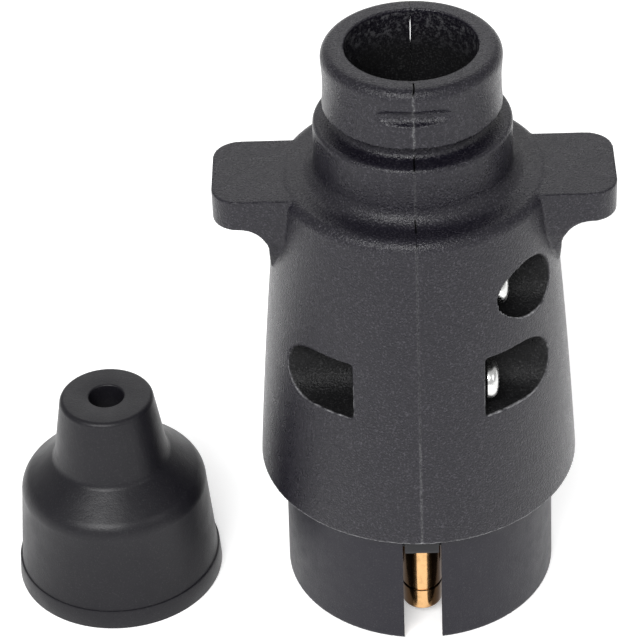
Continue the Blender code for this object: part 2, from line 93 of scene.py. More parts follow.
# Housing, inside
WALL = 2.2
SEAT_R = 20.6
GROOVE_R = 21.5
GROOVE_LOW_Z = 29.7
GROOVE_HIGH_Z = 35.1
LIP_R = 20.0
LIP_TOP_Z = 36.3
LIP_SLOPE_H = 0.3
CHAMBER_TOP_Z = 64.0
ROOF_Z = 68.6
ROOF_R = 15.5
ROOF_RISE = 1.6
HOUSING_VOXEL = 0.2

# Parting line: its wander, the marks along it and the slit behind the cable bore
SEAM_HALF = 0.02
WANDER_REACH = 1.5
NECK_WANDER = 0.09
BODY_WANDER = 0.03
MARK_REACH = 0.15
CRACK_STEP = 0.05
RIM_CRACK_STEP = 0.09
BACK_Y = 8
TONGUE_Y = 11
TONGUE = 0.08
SLIT_LOW_Z = 85.6
SLIT_HIGH_Z = 91.2
SLIT_FADE = 0.5
SLIT_OPEN = 0.14

# Shade and burr marks
SHADE_DEPTH = 0.12
SHADE_MARGIN = 0.4
CHAMBER_SHADE = 0.35
NEAR_RIM_Z = 86.5
NEAR_RIM_H = 5
BURR_PASSES = 10
BURR_PROUD = 0.065
BURR_LOW_Z = 40
BURR_HIGH_Z = 66
BURR_SPLIT_Z = 53

# Wings and the gussets under them
WING_SPAN = HALF_HIGH.x - PLUG.x
WING_TOP_Z = 72.3
WING_THICK = 4.8
WING_DEPTH = 16.0
WING_CORNER = 4.0
WING_ROOT_X = 14.0
GUSSET_ARC_R = 4.2
GUSSET_ARC_X = 25.15
GUSSET_FRONT = ((7.8, 65.2), (6.6, 62.0), (4.2, 58.6), (3.6, 58.2))

# Screw pockets and posts
POCKET_WALL = 1.65
POCKET_Y = 15.9
SCREW_POCKET = (4.8, 47.35)
EMPTY_POCKET = (4.5, 47.15)
UPPER_POCKET_R = 4.45
UPPER_POCKET = (12.9, 60.2)
LOWER_FLOOR_X = 9.45
LOWER_SCREW = (16.5, 46.5)
UPPER_SCREW = (12.0, 60.0)
UPPER_FLOOR_X = 11.0
POST_R = 3.6
HOLE_R = 1.8
PILOT_DEPTH = 8.0
FAR = 30.0

# Housing screws
SCREW_R = 1.5
SCREW_CORE_R = 1.05
SCREW_PITCH = 1.3
SCREW_LEN = 17.5
SCREW_HEAD_R = 2.8
SCREW_HEAD_H = 1.8
SCREW_GAP = 0.3
RECESS_HALF_W = 0.33
RECESS_REACH = 1.5
RECESS_Z = 0.9

# Sleeve, contact carrier and its key
SLEEVE_RIM_R = 20.5
SLEEVE_TOP_R = 20.1
SLEEVE_INNER_R = 18.4
SLEEVE_TOP_Z = 33.0
SLEEVE_FLANGE_R = 21.2
SLEEVE_FLANGE_H = 3.0
SLEEVE_RIM_EDGE = 0.25
SLEEVE_MOUTH_EDGE = 0.5
SLEEVE_VOXEL = 0.22
KEYWAY_W = 5.7
KEYWAY_TOP_Z = 26.0
CARRIER_FACE_Z = 16.0
CARRIER_R = 18.1
CARRIER_TOP_Z = 34.8
CARRIER_EDGE = 0.3
CARRIER_GAP = 0.3
CARRIER_VOXEL = 0.28
PIN_FIT = 0.25
KEY_W = 5.1
KEY_Z = 16.8
KEY_OUT_R = 20.3

# Contact pins and their clamp screws
PIN_COUNT = 7
PIN_CIRCLE_R = 13.5
PIN_R = 3.0
PIN_TIP_Z = 1.5
PIN_DOME_H = 1.4
PIN_STEP_Z = 24.3
PIN_BARREL_R = 3.4
PIN_TOP_Z = 40.5
PIN_MARK_Z = 6.3
PIN_MARK_HALF = 0.28
PIN_MARK_FLAT = 0.15
PIN_MARK_DEPTH = 0.2
PIN_EDGE = 0.2
WIRE_BORE_R = 1.6
WIRE_BORE_Z = 33.0
WIRE_BORE_EDGE = 0.25
WIRE_BORE_TIP = 0.8
CLAMP_Z = 37.6
CLAMP_R = 1.2
CLAMP_CORE_R = 0.95
CLAMP_PITCH = 0.5
CLAMP_FIT = 0.15
CLAMP_GAP = 0.3
CLAMP_SLOT_W = 0.5
CLAMP_SLOT_DEPTH = 0.5
CLAMP_TIP = 0.6
CLAMP_HEAD_R = 1.9
CLAMP_HEAD_H = 1.0

# Rubber boot
BOOT_LIP_R = 15.78
BOOT_LIP_TOP_R = 15.6
BOOT_LIP_H = 3.4
BOOT_BODY_R = 15.25
BOOT_SHOULDER_R = 14.2
BOOT_SHOULDER_Z = 16.0
BOOT_ROUND = 3.65
BOOT_LEDGE_TURN = 50
BOOT_TIP_R = 8.6
BOOT_TIP_Z = 22.9
BOOT_TIP_LEAN = 8.5
BOOT_TIP_FILLET = 1.8
BOOT_TIP_TOP_R = 7.15
BOOT_TIP_ROUND = 0.8
BOOT_HOLE_R = 2.64
BOOT_MOUTH_R = 14.3
BOOT_BEAD_R = 11.4
BOOT_BORE_R = 12.95
BOOT_CEILING_Z = 17.6
BOOT_CONE_R = 6.2
BOOT_CEILING_ROUND = 1.6
BOOT_HOLE_EDGE = 0.3
BOOT_MOUTH_EDGE = 0.3
BOOT_BEAD_Z = (7.2, 9.0)
BOOT_BEAD_EDGE = 0.2
BOOT_HOLE_Z = 30.0

# Fineness of turned and remeshed pieces
ROUND = 144
RELAX_PASSES = 2


def arc(centre, radius, start, end, steps):
    """Points on an arc about centre from start to end, both in degrees."""
    turns = [math.radians(start + (end - start) * i / steps) for i in range(steps + 1)]
    return [(centre[0] + radius * math.cos(t), centre[1] + radius * math.sin(t)) for t in turns]


def new_object(name, bm):
    """Turn a bmesh in millimetres into a linked object in metres."""
    bmesh.ops.recalc_face_normals(bm, faces=bm.faces)
    mesh = bpy.data.meshes.new(name)
    bm.to_mesh(mesh)
    bm.free()
    made = bpy.data.objects.new(name, mesh)
    bpy.context.scene.collection.objects.link(made)
    return made


def turned(name, outline, segments=ROUND):
    """Closed solid turned about Z from a closed outline of (radius, height) points."""
    bm = bmesh.new()
    verts = [bm.verts.new((r, 0, z)) for r, z in outline]
    edges = [bm.edges.new((a, b)) for a, b in zip(verts, verts[1:] + verts[:1])]
    axis_edges = [e for e in edges if all(v.co.x == 0 for v in e.verts)]
    bmesh.ops.delete(bm, geom=axis_edges, context="EDGES")
    bmesh.ops.spin(bm, geom=bm.verts[:] + bm.edges[:], cent=(0, 0, 0), axis=(0, 0, 1),
                   angle=math.tau, steps=segments, use_merge=True)
    bmesh.ops.remove_doubles(bm, verts=bm.verts, dist=1e-4)
    return new_object(name, bm)


def prism(name, outline, to_world, length):
    """Closed solid extruded by length from a flat outline that to_world lays in space."""
    bm = bmesh.new()
    face = bm.faces.new([bm.verts.new(to_world @ Vector((u, v, 0))) for u, v in outline])
    made = bmesh.ops.extrude_face_region(bm, geom=[face])
    moved = [part for part in made["geom"] if isinstance(part, bmesh.types.BMVert)]
    shift = to_world.to_3x3() @ Vector((0, 0, length))
    bmesh.ops.translate(bm, vec=shift, verts=moved)
    return new_object(name, bm)


def box(name, low, high):
    """Closed box between two corners."""
    bm = bmesh.new()
    size = [b - a for a, b in zip(low, high)]
    middle = [(a + b) / 2 for a, b in zip(low, high)]
    bmesh.ops.create_cube(bm, size=1, matrix=Matrix.Translation(middle) @ Matrix.Diagonal((*size, 1)))
    return new_object(name, bm)


def along_x(x):
    """Frame that lays an outline of (y, z) points at x and extrudes it towards +X."""
    return Matrix(((0, 0, 1, x), (1, 0, 0, 0), (0, 1, 0, 0), (0, 0, 0, 1)))


def rod(name, x, length, y, z, radius, segments=48):
    """Round bar along X from x, centred at y and z."""
    outline = arc((y, z), radius, 0, 360 - 360 / segments, segments - 1)
    return prism(name, outline, along_x(x), length)


def evaluated_mesh(thing):
    """Mesh of an object with its modifiers applied."""
    bpy.context.view_layer.update()
    return bpy.data.meshes.new_from_object(thing.evaluated_get(bpy.context.evaluated_depsgraph_get()))


def apply_modifiers(thing):
    """Replace an object's mesh by its evaluated one."""
    result = evaluated_mesh(thing)
    thing.modifiers.clear()
    thing.data = result


def combine(target, tools, operation):
    """Boolean some tools that don't touch each other into the target, then drop the tools."""
    group = bpy.data.collections.new("tools")
    for tool in tools:
        group.objects.link(tool)
    step = target.modifiers.new(operation, "BOOLEAN")
    step.operation = operation
    step.solver = "EXACT"
    step.operand_type = "COLLECTION"
    step.collection = group
    apply_modifiers(target)
    for tool in tools:
        bpy.data.objects.remove(tool, do_unlink=True)
    bpy.data.collections.remove(group)


def body_radius(z):
    """Outer radius of the tapered body, which bulges slightly between skirt and shoulder."""
    t = (z - SKIRT_Z) / (SHOULDER_Z - SKIRT_Z)
    return SKIRT_R + (SHOULDER_R - SKIRT_R) * t + 4 * BODY_BULGE * t * (1 - t)


def heights(low, high, steps):
    """Evenly spaced heights from low to high, both included."""
    return [low + (high - low) * i / steps for i in range(steps + 1)]


def housing_outline():
    """Outside of the housing, closed along the axis."""
    shoulder = (SHOULDER_R - SHOULDER_ROUND, SHOULDER_Z)
    collar_foot = (COLLAR_R + COLLAR_FILLET, LEDGE_Z + COLLAR_FILLET)
    collar_edge = (COLLAR_R - COLLAR_EDGE, COLLAR_TOP_Z - COLLAR_EDGE)
    neck_foot = (NECK_R + NECK_FILLET, COLLAR_TOP_Z + NECK_FILLET)
    ring_edge = (RING_R - RING_ROUND, RING_TOP_Z - RING_ROUND)
    points = [(0, SKIRT_Z)]
    points += [(body_radius(z), z) for z in heights(SKIRT_Z, SHOULDER_Z, 12)[:-1]]
    points += arc(shoulder, SHOULDER_ROUND, 0, 90, 10)
    points += arc(collar_foot, COLLAR_FILLET, 270, 180, 10)
    points += arc(collar_edge, COLLAR_EDGE, 0, 90, 5)
    points += arc(neck_foot, NECK_FILLET, 270, 180, 5)
    points += [(NECK_R, RING_Z), (RING_R, RING_Z)]
    points += [(RING_R - RING_FLANK, RING_Z + RING_FLANK_H), (RING_WAIST_R, RING_WAIST_Z)]
    points += arc(ring_edge, RING_ROUND, 0, 90, 10)
    points += [(0, RING_TOP_Z)]
    return points


def chamber_outline():
    """Inside of the housing: sleeve seat, flange groove, lip, wiring chamber and cable bore."""
    points = [(0, SKIRT_Z - FAR), (SEAT_R, SKIRT_Z - FAR), (SEAT_R, GROOVE_LOW_Z)]
    points += [(GROOVE_R, GROOVE_LOW_Z), (GROOVE_R, GROOVE_HIGH_Z)]
    points += [(LIP_R, GROOVE_HIGH_Z), (LIP_R, LIP_TOP_Z)]
    points += [(body_radius(z) - WALL, z) for z in heights(LIP_TOP_Z + LIP_SLOPE_H, CHAMBER_TOP_Z, 6)]
    points += [(ROOF_R, ROOF_Z), (BORE_R, ROOF_Z + ROOF_RISE)]
    points += [(BORE_R, RING_TOP_Z + FAR), (0, RING_TOP_Z + FAR)]
    return points


def wing_solid():
    """Wing with its gusset on the +X side: a side outline trimmed to its plan and front outlines."""
    under = WING_TOP_Z - WING_THICK
    side = [(WING_ROOT_X, WING_TOP_Z), (WING_SPAN, WING_TOP_Z), (WING_SPAN, under)]
    side += arc((GUSSET_ARC_X, under - GUSSET_ARC_R), GUSSET_ARC_R, 90, 180, 16)
    side += [(GUSSET_ARC_X - GUSSET_ARC_R, GUSSET_FRONT[-1][1]), (WING_ROOT_X, GUSSET_FRONT[-1][1])]
    along_y = Matrix(((1, 0, 0, 0), (0, 0, 1, -WING_DEPTH / 2), (0, 1, 0, 0), (0, 0, 0, 1)))
    wing = prism("wing", side, along_y, WING_DEPTH)
    half = WING_DEPTH / 2
    corner_x = WING_SPAN - WING_CORNER
    plan = [(0, half), (0, -half)]
    plan += arc((corner_x, WING_CORNER - half), WING_CORNER, -90, 0, 12)
    plan += arc((corner_x, half - WING_CORNER), WING_CORNER, 0, 90, 12)
    trim = prism("wing_plan", plan, Matrix.Translation((0, 0, SKIRT_Z)), RING_TOP_Z)
    combine(wing, [trim], "INTERSECT")
    front = [(half, WING_TOP_Z + FAR), (half, under), *GUSSET_FRONT]
    front += [(-y, z) for y, z in reversed(front)]
    combine(wing, [prism("gusset_front", front, along_x(0), 2 * FAR)], "INTERSECT")
    return wing


def lower_pocket(side, grow, x):
    """U-shaped bar along X: the screw's pocket at the front (side -1), the empty one behind."""
    radius, z = SCREW_POCKET if side < 0 else EMPTY_POCKET
    radius += grow
    turn = 90 if side > 0 else -90
    outline = [(side * FAR, z - side * radius), (side * FAR, z + side * radius)]
    outline += arc((side * POCKET_Y, z), radius, turn, turn + 180, 28)
    return prism("pocket", outline, along_x(x), FAR)


def chamber_solid():
    """Hollow of the +X half, less the pocket walls and screw posts that stand in it."""
    chamber = turned("chamber", chamber_outline())
    floor_back = UPPER_FLOOR_X - POCKET_WALL
    blocks = [lower_pocket(side, POCKET_WALL, LOWER_FLOOR_X - POCKET_WALL) for side in (-1, 1)]
    blocks += [rod("wall", floor_back, FAR, -UPPER_POCKET[0], UPPER_POCKET[1],
                   UPPER_POCKET_R + POCKET_WALL)]
    posts = [rod("post", -1, LOWER_FLOOR_X, side * LOWER_SCREW[0], LOWER_SCREW[1], POST_R)
             for side in (-1, 1)]
    posts += [rod("post", -1, FAR, side * UPPER_SCREW[0], UPPER_SCREW[1], POST_R)
              for side in (-1, 1)]
    combine(chamber, blocks, "DIFFERENCE")
    combine(chamber, posts, "DIFFERENCE")
    return chamber


def housing_half():
    """One housing half on the +X side of the plug's axis."""
    half = turned("housing_right", housing_outline())
    combine(half, [wing_solid()], "UNION")
    combine(half, [chamber_solid()], "DIFFERENCE")
    tie_y = RING_WAIST_R - TIE_GROOVE_DEPTH + TIE_GROOVE_R
    cutters = [rod("tie", -FAR, 2 * FAR, side * tie_y, TIE_GROOVE_Z, TIE_GROOVE_R, 32)
               for side in (-1, 1)]
    cutters += [lower_pocket(side, 0, LOWER_FLOOR_X) for side in (-1, 1)]
    cutters += [rod("pocket", UPPER_FLOOR_X, FAR, -UPPER_POCKET[0], UPPER_POCKET[1],
                    UPPER_POCKET_R)]
    combine(half, cutters, "DIFFERENCE")
    holes = []
    for y, z in (LOWER_SCREW, UPPER_SCREW):
        holes.append(rod("clearance", -1, UPPER_FLOOR_X + 2, -y, z, HOLE_R, 32))
        holes.append(rod("pilot", -1, 1 + PILOT_DEPTH, y, z, HOLE_R, 32))
    combine(half, holes, "DIFFERENCE")
    keep = box("keep", (-2, -FAR, 0), (2 * FAR, FAR, RING_TOP_Z + FAR))
    combine(half, [keep], "INTERSECT")
    return half


def moulded(thing, voxel, passes):
    """Remesh a solid finely and relax it, so that every edge gets a small moulded radius."""
    step = thing.modifiers.new("remesh", "REMESH")
    step.mode = "VOXEL"
    step.voxel_size = voxel
    relax = thing.modifiers.new("relax", "SMOOTH")
    relax.factor = 0.5
    relax.iterations = passes
    apply_modifiers(thing)


def read_points(mesh, what, width=3):
    """One array with a row for each of a mesh's points."""
    values = np.zeros(len(mesh.vertices) * width, np.float32)
    mesh.vertices.foreach_get(what, values)
    return values.reshape(-1, width)


def store(mesh, name, values):
    """Keep a number on each point of a mesh."""
    layer = mesh.attributes.new(name, "FLOAT", "POINT")
    layer.data.foreach_set("value", np.clip(values, 0, 1).astype(np.float32))


def proud(thing, passes, full):
    """How far each point stands out of its smoothed surroundings, as a share of full."""
    relax = thing.modifiers.new("relax", "SMOOTH")
    relax.factor = 0.5
    relax.iterations = passes
    smoothed = evaluated_mesh(thing)
    thing.modifiers.clear()
    offset = read_points(thing.data, "co") - read_points(smoothed, "co")
    bpy.data.meshes.remove(smoothed)
    return np.sum(offset * read_points(thing.data, "normal"), axis=1) / full


def part_at_seam(thing):
    """Cut a solid off at the parting plane and close the cut with flat faces."""
    bm = bmesh.new()
    bm.from_mesh(thing.data)
    bmesh.ops.bisect_plane(bm, geom=bm.verts[:] + bm.edges[:] + bm.faces[:], dist=1e-4,
                           plane_co=(SEAM_HALF, 0, 0), plane_no=(1, 0, 0), clear_inner=True)
    rim = [edge for edge in bm.edges if edge.is_boundary]
    bmesh.ops.triangle_fill(bm, edges=rim, use_beauty=True)
    bmesh.ops.recalc_face_normals(bm, faces=bm.faces)
    bm.to_mesh(thing.data)
    bm.free()


def slit_share(z):
    """How open the parting line stands behind the neck's bore, from 0 to 1."""
    above = np.clip((z - SLIT_LOW_Z) / SLIT_FADE, 0, 1)
    return above * np.clip((SLIT_HIGH_Z - z) / SLIT_FADE, 0, 1)


def wander(y, z):
    """Sideways wander of the parting line, which is wilder round the neck's ring."""
    amount = np.where(z > RING_Z, NECK_WANDER, BODY_WANDER) * (y < 0)
    wave = amount * (np.sin(2.3 * z + 0.4 * y) + 0.7 * np.sin(5.1 * z - 0.9 * y + 1.0))
    return wave + TONGUE * np.clip(TONGUE_Y - y, -1, 1) * (y > BACK_Y) * (1 - slit_share(z))


def finish_half(half, side):
    """Wander, wear and shade marks of one half; side 1 is the right one and -1 the left."""
    mesh = half.data
    points = read_points(mesh, "co")
    normals = read_points(mesh, "normal")
    x, y, z = points[:, 0], points[:, 1], points[:, 2]
    radius = np.hypot(x, y)
    near = np.clip(1 - (x - SEAM_HALF) / WANDER_REACH, 0, 1)
    moved = points.copy()
    moved[:, 0] += side * wander(side * y, z) * near
    if side > 0:
        moved[:, 0] += SLIT_OPEN * slit_share(z) * (y > BACK_Y) * (near > 0.99)
    seam = np.clip(1 - (x - SEAM_HALF) / MARK_REACH, 0, 1)
    outside = radius > np.where(z > LEDGE_Z, BORE_R + 0.8, body_radius(z) - 0.6)
    tie = np.abs(z - TIE_GROOVE_Z) < 2
    upward = (np.abs(normals[:, 2]) > 0.45) & ~tie
    rim_top = z > RING_TOP_Z - 1
    step = np.where(rim_top, RIM_CRACK_STEP, CRACK_STEP)
    moved[:, 0] += seam * outside * upward * (side * y < 0) * step
    mesh.vertices.foreach_set("co", moved.ravel())
    amount = np.where(z > RING_Z, 1.0, np.where(z < 40, 0.75, 0.4))
    store(mesh, "flash", amount * seam * outside * ~upward)
    store(mesh, "crack", seam * outside * upward)
    depth = np.where(z > LEDGE_Z, BORE_R + 0.8 - radius, body_radius(z) - radius - 0.05)
    hidden = np.where(z > LEDGE_Z, z < RING_TOP_Z - 0.5, z < SHOULDER_Z)
    beside = np.abs(z - SCREW_POCKET[1]) < SCREW_POCKET[0] + SHADE_MARGIN
    in_lower = (np.abs(y) > POCKET_Y - 5.5) & beside
    across = np.hypot(y + UPPER_POCKET[0], z - UPPER_POCKET[1])
    in_upper = across < UPPER_POCKET_R + SHADE_MARGIN
    in_pocket = (x > LOWER_FLOOR_X - SHADE_MARGIN) & (in_lower | in_upper)
    shown = np.where(in_pocket | (z > LEDGE_Z), 1.0, CHAMBER_SHADE)
    store(mesh, "inside", np.clip(depth / SHADE_DEPTH, 0, 1) * hidden * shown)
    store(mesh, "near_rim", (z - NEAR_RIM_Z) / NEAR_RIM_H)
    at_surface = (x > 2) & (np.abs(depth + 0.05) < 0.6) & (np.abs(y) > 9)
    pockets = at_surface & (z > BURR_LOW_Z) & (z < BURR_HIGH_Z)
    low_side = (z < SCREW_POCKET[1] + 1) | ((z > BURR_SPLIT_Z) & (z < UPPER_POCKET[1]))
    skirt = z < SKIRT_Z + 0.5
    store(mesh, "burr", proud(half, BURR_PASSES, BURR_PROUD) * ((pockets & low_side) | skirt))


def placed(thing, where, sharp=50):
    """Set a mesh in millimetres at its place in metres, with crisp edges past an angle."""
    thing.data.transform(Matrix.Scale(MM, 4) @ where)
    thing.data.shade_smooth()
    thing.data.set_sharp_from_angle(angle=math.radians(sharp))
    return thing


def copied(thing, name):
    """Copy of an object with its own mesh."""
    made = thing.copy()
    made.data = thing.data.copy()
    made.name = name
    bpy.context.scene.collection.objects.link(made)
    return made


def dress(piece, body, node, slot):
    """Give a finished piece its material and body, and hide the CAD node that it stands for."""
    piece.data.materials.clear()
    piece.data.materials.append(surface(slot))
    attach(piece, body)
    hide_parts(node)


def housings():
    """Both halves of the housing. The left one is the right one turned half round."""
    right = housing_half()
    moulded(right, HOUSING_VOXEL, RELAX_PASSES)
    part_at_seam(right)
    left = copied(right, "housing_left")
    finish_half(right, 1)
    finish_half(left, -1)
    at_plug = Matrix.Translation(PLUG)
    dress(placed(right, at_plug), "right_half", "housing_half_right", "housing_plastic")
    turned_round = at_plug @ Matrix.Rotation(math.pi, 4, "Z")
    dress(placed(left, turned_round), "plug", "housing_half_left", "housing_plastic")


# ---- Sleeve, contacts, screws and boot ----

def plug_sleeve():
    """Slotted barrel with the flange that the housing grips."""
    flange_z = SLEEVE_TOP_Z - SLEEVE_FLANGE_H
    outline = [(SLEEVE_INNER_R + SLEEVE_MOUTH_EDGE, 0), (SLEEVE_RIM_R - SLEEVE_RIM_EDGE, 0)]
    outline += [(SLEEVE_RIM_R, SLEEVE_RIM_EDGE)]
    outline += [(SLEEVE_TOP_R, flange_z), (SLEEVE_FLANGE_R, flange_z)]
    outline += [(SLEEVE_FLANGE_R, SLEEVE_TOP_Z), (SLEEVE_INNER_R, SLEEVE_TOP_Z)]
    outline += [(SLEEVE_INNER_R, SLEEVE_MOUTH_EDGE)]
    sleeve = turned("sleeve", outline)
    low = (-KEYWAY_W / 2, -FAR, -FAR)
    high = (KEYWAY_W / 2, CARRIER_FACE_Z - FAR, KEYWAY_TOP_Z)
    combine(sleeve, [box("keyway", low, high)], "DIFFERENCE")
    moulded(sleeve, SLEEVE_VOXEL, RELAX_PASSES)
    dress(placed(sleeve, Matrix.Translation(PLUG)), "plug", "plug_sleeve", "sleeve_plastic")


def pin_place(number):
    """Plan position of a contact, and the plan angle that its clamp screw faces."""
    if number == PIN_COUNT:
        return 0.0, 0.0, 0.0
    angle = -math.pi / 2 + (number - 1) * math.tau / (PIN_COUNT - 1)
    return PIN_CIRCLE_R * math.cos(angle), PIN_CIRCLE_R * math.sin(angle), angle


def contact_carrier():
    """Moulded disc that holds the contacts, with the key that sits in the keyway."""
    seat_z = SLEEVE_TOP_Z + CARRIER_GAP
    outline = [(0, CARRIER_FACE_Z), (CARRIER_R - CARRIER_EDGE, CARRIER_FACE_Z)]
    outline += [(CARRIER_R, CARRIER_FACE_Z + CARRIER_EDGE)]
    outline += [(CARRIER_R, seat_z), (SLEEVE_FLANGE_R, seat_z)]
    outline += [(SLEEVE_FLANGE_R, CARRIER_TOP_Z), (0, CARRIER_TOP_Z)]
    carrier = turned("carrier", outline)
    low = (-KEY_W / 2, -KEY_OUT_R, KEY_Z)
    high = (KEY_W / 2, -CARRIER_R + KEY_W, KEYWAY_TOP_Z - CARRIER_GAP)
    combine(carrier, [box("key", low, high)], "UNION")
    small, large = PIN_R + PIN_FIT, PIN_BARREL_R + PIN_FIT
    mouth, step_z = small + CARRIER_EDGE, PIN_STEP_Z - CARRIER_GAP
    profile = [(0, 0), (mouth, 0), (mouth, CARRIER_FACE_Z), (small, CARRIER_FACE_Z + 0.4)]
    profile += [(small, step_z), (large, step_z), (large, PIN_TOP_Z), (0, PIN_TOP_Z)]
    holes = []
    for number in range(1, PIN_COUNT + 1):
        x, y, _ = pin_place(number)
        hole = turned("pin_hole", profile, 64)
        hole.data.transform(Matrix.Translation((x, y, 0)))
        holes.append(hole)
    combine(carrier, holes, "DIFFERENCE")
    moulded(carrier, CARRIER_VOXEL, RELAX_PASSES)
    dress(placed(carrier, Matrix.Translation(PLUG)), "plug", "contact_carrier", "carrier_plastic")


def pin_solid():
    """Contact pin: domed tip, scribed ring, shoulder and wire barrel with its clamp hole."""
    dome = arc((0, 0), 1, -90, 0, 20)
    outline = [(PIN_R * x, PIN_TIP_Z + PIN_DOME_H * (1 + z)) for x, z in dome]
    outline[0] = (0, PIN_TIP_Z)
    mark_r, barrel_edge = PIN_R - PIN_MARK_DEPTH, PIN_BARREL_R - PIN_EDGE
    outline += [(PIN_R, PIN_MARK_Z - PIN_MARK_HALF), (mark_r, PIN_MARK_Z - PIN_MARK_FLAT)]
    outline += [(mark_r, PIN_MARK_Z + PIN_MARK_FLAT), (PIN_R, PIN_MARK_Z + PIN_MARK_HALF)]
    outline += [(PIN_R, PIN_STEP_Z), (barrel_edge, PIN_STEP_Z), (PIN_BARREL_R, PIN_STEP_Z + PIN_EDGE)]
    outline += [(PIN_BARREL_R, PIN_TOP_Z - PIN_EDGE), (barrel_edge, PIN_TOP_Z)]
    outline += [(WIRE_BORE_R + WIRE_BORE_EDGE, PIN_TOP_Z), (WIRE_BORE_R, PIN_TOP_Z - WIRE_BORE_EDGE)]
    outline += [(WIRE_BORE_R, WIRE_BORE_Z), (0, WIRE_BORE_Z - WIRE_BORE_TIP)]
    pin = turned("pin", outline, 96)
    combine(pin, [rod("clamp_hole", 0, FAR, 0, CLAMP_Z, CLAMP_R + CLAMP_FIT)], "DIFFERENCE")
    # Painted reflection mask: full along the side that faces outwards and fading out over the domed tip,
    # where painted shade takes over.
    points = read_points(pin.data, "co")
    across = np.abs(np.arctan2(points[:, 1], points[:, 0]))
    dome = np.clip((PIN_TIP_Z + PIN_DOME_H + 0.3 - points[:, 2]) / 0.8, 0, 1)
    store(pin.data, "painted_reflection", (0.50 - across) / 0.10 * (1 - dome))
    return pin


def threaded(name, start, end, outer, core, pitch, head, segments=48):
    """Screw along Z whose thread runs from start to end, then a head outline up to its top."""
    bm = bmesh.new()
    steps = int((end - start) / pitch * 8)
    rings = []
    for i in range(steps + 1):
        z = start + (end - start) * i / steps
        full = core + (outer - core) * min(1, (z - start) / pitch + 0.2)
        ring = []
        for j in range(segments):
            phase = (z / pitch - j / segments) % 1
            ridge = max(0.0, 1 - abs(phase - 0.5) / 0.36)
            ring.append((core + (full - core) * ridge - 0.15 * (i == 0), z, j))
        rings.append(ring)
    rings += [[(r, z, j) for j in range(segments)] for r, z in head]
    turn = math.tau / segments
    verts = [[bm.verts.new((r * math.cos(j * turn), r * math.sin(j * turn), z)) for r, z, j in ring]
             for ring in rings]
    for low, high in zip(verts, verts[1:]):
        for j in range(segments):
            k = (j + 1) % segments
            bm.faces.new((low[j], low[k], high[k], high[j]))
    bm.faces.new(reversed(verts[0]))
    bm.faces.new(verts[-1])
    return new_object(name, bm)


def clamp_screw_solid():
    """Slotted terminal screw whose own axis is Z, with its head at the top."""
    head_z = PIN_BARREL_R + CLAMP_GAP
    top = head_z + CLAMP_HEAD_H
    head = [(CLAMP_HEAD_R - 0.12, head_z), (CLAMP_HEAD_R, head_z + 0.12), (CLAMP_HEAD_R, top - 0.18)]
    head += [(CLAMP_HEAD_R - 0.18, top)]
    screw = threaded("clamp", CLAMP_TIP, head_z, CLAMP_R, CLAMP_CORE_R, CLAMP_PITCH, head)
    low = (-CLAMP_SLOT_W / 2, -FAR, top - CLAMP_SLOT_DEPTH)
    high = (CLAMP_SLOT_W / 2, FAR, top + FAR)
    combine(screw, [box("slot", low, high)], "DIFFERENCE")
    return screw


def contacts():
    """The seven contact pins, each with its terminal screw."""
    pin, screw = pin_solid(), clamp_screw_solid()
    for number in range(1, PIN_COUNT + 1):
        x, y, angle = pin_place(number)
        where = Matrix.Translation(PLUG + Vector((x, y, 0))) @ Matrix.Rotation(angle, 4, "Z")
        one = placed(copied(pin, f"pin_{number}"), where, 30)
        dress(one, "plug", f"contact_pin_{number}", "pin_brass")
        lay = Matrix.Translation((0, 0, CLAMP_Z)) @ Matrix.Rotation(math.pi / 2, 4, "Y")
        twist = Matrix.Rotation(0.4 + 1.3 * number, 4, "Z")
        one = placed(copied(screw, f"clamp_{number}"), where @ lay @ twist, 30)
        dress(one, f"terminal_{number}", f"terminal_screw_{number}", "screw_steel")
    for spare in (pin, screw):
        bpy.data.objects.remove(spare, do_unlink=True)


def housing_screw_solid():
    """Pan head screw with a cross recess whose own axis is Z, its head's underside at zero."""
    head = [(SCREW_HEAD_R - 0.1, 0), (SCREW_HEAD_R, 0.1), (SCREW_HEAD_R, 0.7)]
    head += [(SCREW_HEAD_R - 0.12, 1.0), (SCREW_HEAD_R - 0.4, 1.35), (SCREW_HEAD_R - 0.85, 1.6)]
    head += [(SCREW_HEAD_R - 1.5, 1.74), (0.8, SCREW_HEAD_H)]
    screw = threaded("screw", -SCREW_LEN, 0, SCREW_R, SCREW_CORE_R, SCREW_PITCH, head)
    for x, y in ((RECESS_REACH, RECESS_HALF_W), (RECESS_HALF_W, RECESS_REACH)):
        combine(screw, [box("recess", (-x, -y, RECESS_Z), (x, y, FAR))], "DIFFERENCE")
    return screw


def housing_screws():
    """Two screws from the +X side at the front and two from the -X side at the back."""
    screw = housing_screw_solid()
    levels = {"lower": (LOWER_FLOOR_X, *LOWER_SCREW), "upper": (UPPER_FLOOR_X, *UPPER_SCREW)}
    twist = 0.35
    for end, side in (("front", 1), ("rear", -1)):
        for level, (floor_x, y, z) in levels.items():
            seat = Vector((side * (floor_x + SCREW_GAP), -side * y, z))
            lay = Matrix.Rotation(side * math.pi / 2, 4, "Y") @ Matrix.Rotation(twist, 4, "Z")
            where = Matrix.Translation(PLUG + seat) @ lay
            one = placed(copied(screw, f"screw_{end}_{level}"), where, 30)
            dress(one, f"screw_{end}_{level}", f"housing_screw_{end}_{level}", "screw_steel")
            twist += 0.9
    bpy.data.objects.remove(screw, do_unlink=True)


